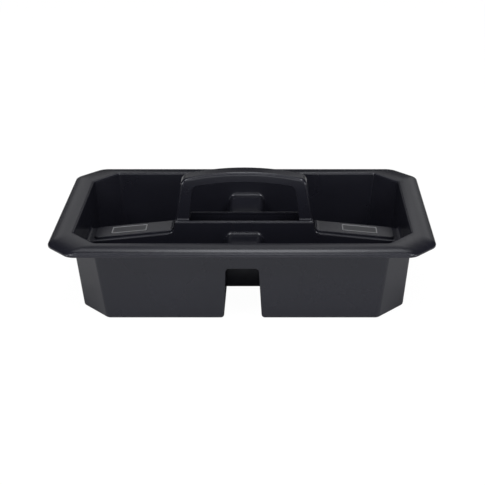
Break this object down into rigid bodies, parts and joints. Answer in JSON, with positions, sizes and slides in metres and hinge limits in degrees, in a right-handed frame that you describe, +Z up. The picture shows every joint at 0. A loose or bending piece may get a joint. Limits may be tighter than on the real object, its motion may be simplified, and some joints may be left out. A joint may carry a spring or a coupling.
{
  "type": "tool storage caddy",
  "caption": "Open eight-sided plastic caddy with a rolled rim, a central saddle with an arched carry handle, finger tunnels and compartments for hobby tools.",
  "frame": {"origin": "middle of the base's underside, on the plane that the caddy rests on", "axes": "+X along the saddle and the long side of the tub, +Y from the front wall to the back wall, +Z up"},
  "size_m": [0.42, 0.248, 0.1391],
  "materials": {
    "black_plastic": "fine-grained satin moulding",
    "plate_grey": "satin"
  },
  "bodies": {
    "root": {"tray": "black_plastic", "centre_saddle": "black_plastic", "carry_handle": "black_plastic", "label_plate_left": "plate_grey", "label_plate_right": "plate_grey"}
  },
  "joints": []
}
